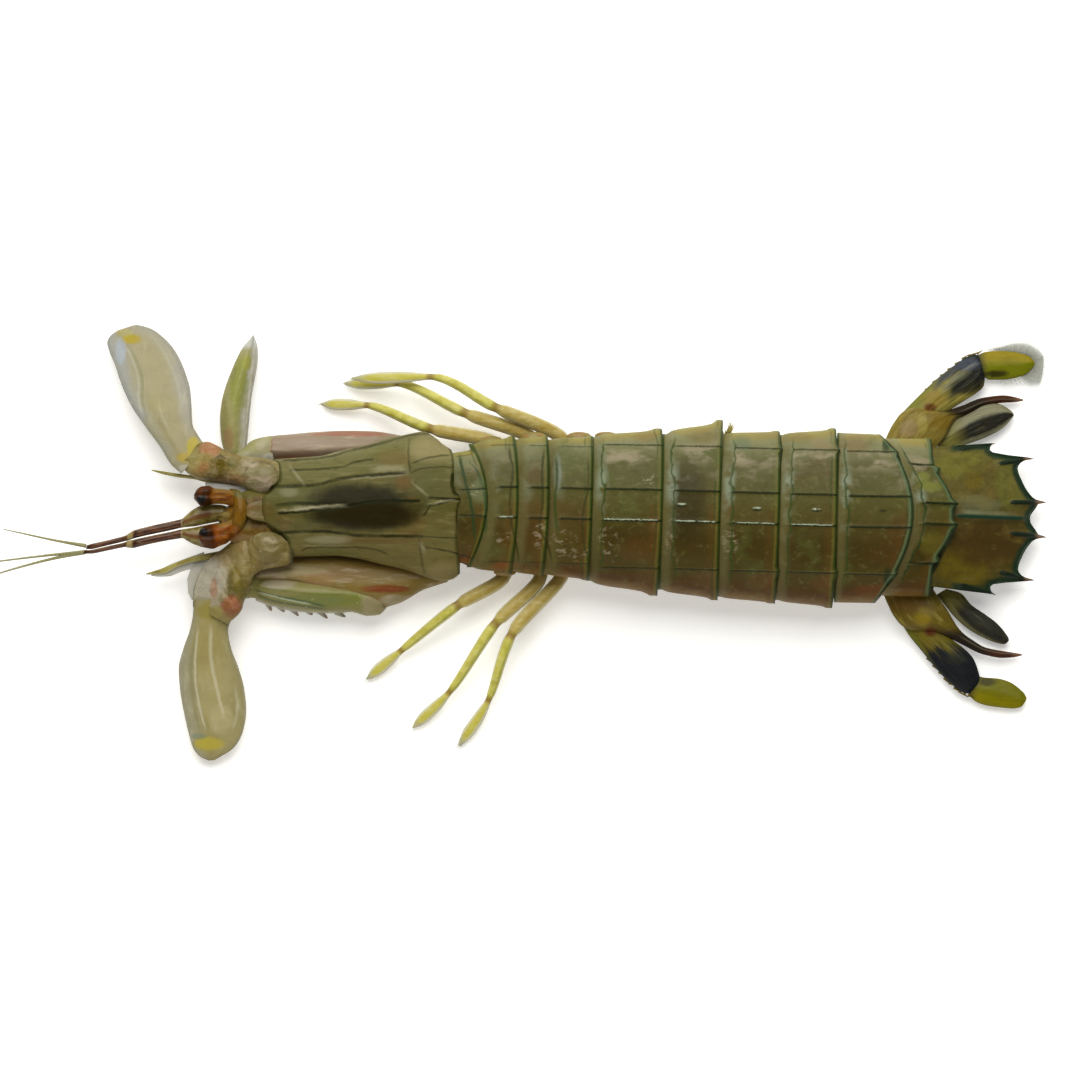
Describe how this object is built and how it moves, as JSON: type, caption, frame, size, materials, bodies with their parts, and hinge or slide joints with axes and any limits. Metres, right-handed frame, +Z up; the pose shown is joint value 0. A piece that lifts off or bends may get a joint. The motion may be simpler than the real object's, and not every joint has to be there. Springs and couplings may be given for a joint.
{
  "type": "raw mantis shrimp",
  "caption": "Raw whole mantis shrimp lying belly down: ringed green shell, carapace, folded and open claws, paddles, slender legs, toothed tail fan.",
  "frame": {"origin": "middle of the bounding box, on the surface that the animal lies on", "axes": "+Z up out of the back, -X towards the head and antennae, +X towards the tail, +Y towards the animal's right side"},
  "size_m": [0.2083, 0.0821, 0.0173],
  "materials": {
    "shell": "wet olive-green chitin with dark green keels and rear margins",
    "carapace": "wet olive shell, dark stomach showing through, green keels",
    "rostral_plate": "wet brownish pink plate",
    "tail_plate": "wet olive-yellow plate with a dark green toothed margin",
    "uropod_base": "wet straw yellow with brown spines",
    "uropod_dark": "wet dark navy to green",
    "uropod_yellow": "wet yellow with a green edge",
    "head": "wet amber",
    "eye": "glossy dark amber cornea on an orange stalk",
    "antennule": "wet dark brown with pale joints",
    "feeler": "pale yellow-green",
    "scale": "wet milky translucent paddle with a yellow spot",
    "flesh": "wet soft olive-pink flesh",
    "claw_arm": "wet pinkish translucent shell",
    "claw": "wet pale green shell",
    "claw_blade": "wet whitish translucent blade",
    "leg": "wet yellow-green, translucent at the edges"
  },
  "bodies": {
    "root": {"carapace": "carapace", "rostral_plate": "rostral_plate", "thoracic_somite_5": "shell", "thoracic_somite_6": "shell", "thoracic_somite_7": "shell", "thoracic_somite_8": "shell", "abdominal_somite_1": "shell", "abdominal_somite_2": "shell", "abdominal_somite_3": "shell", "abdominal_somite_4": "shell", "abdominal_somite_5": "shell", "abdominal_somite_6": "shell", "telson": "tail_plate", "uropod_base_right": "uropod_base", "uropod_base_left": "uropod_base", "uropod_outer_right": "uropod_dark", "uropod_outer_left": "uropod_dark", "uropod_outer_tip_right": "uropod_yellow", "uropod_outer_tip_left": "uropod_yellow", "uropod_inner_right": "uropod_dark", "uropod_inner_left": "uropod_dark", "head": "head", "eye_right": "eye", "eye_left": "eye", "antennule_right": "antennule", "antennule_left": "antennule", "antenna_base_right": "flesh", "antenna_base_left": "flesh", "antenna_feeler_right": "feeler", "antenna_feeler_left": "feeler", "antennal_scale_right": "scale", "antennal_scale_left": "scale", "raptorial_merus_right": "claw_arm", "raptorial_merus_left": "claw_arm", "raptorial_carpus_right": "claw", "raptorial_carpus_left": "claw", "raptorial_propodus_right": "claw", "raptorial_propodus_left": "claw", "raptorial_dactylus_right": "claw_blade", "raptorial_dactylus_left": "claw_blade", "leg_1_right": "leg", "leg_2_right": "leg", "leg_3_right": "leg", "leg_1_left": "leg", "leg_2_left": "leg", "leg_3_left": "leg", "head_underside": "flesh", "thorax_underside": "flesh", "pleopods_1": "flesh", "pleopods_2": "flesh", "pleopods_3": "flesh", "pleopods_4": "flesh", "pleopods_5": "flesh"}
  },
  "joints": []
}
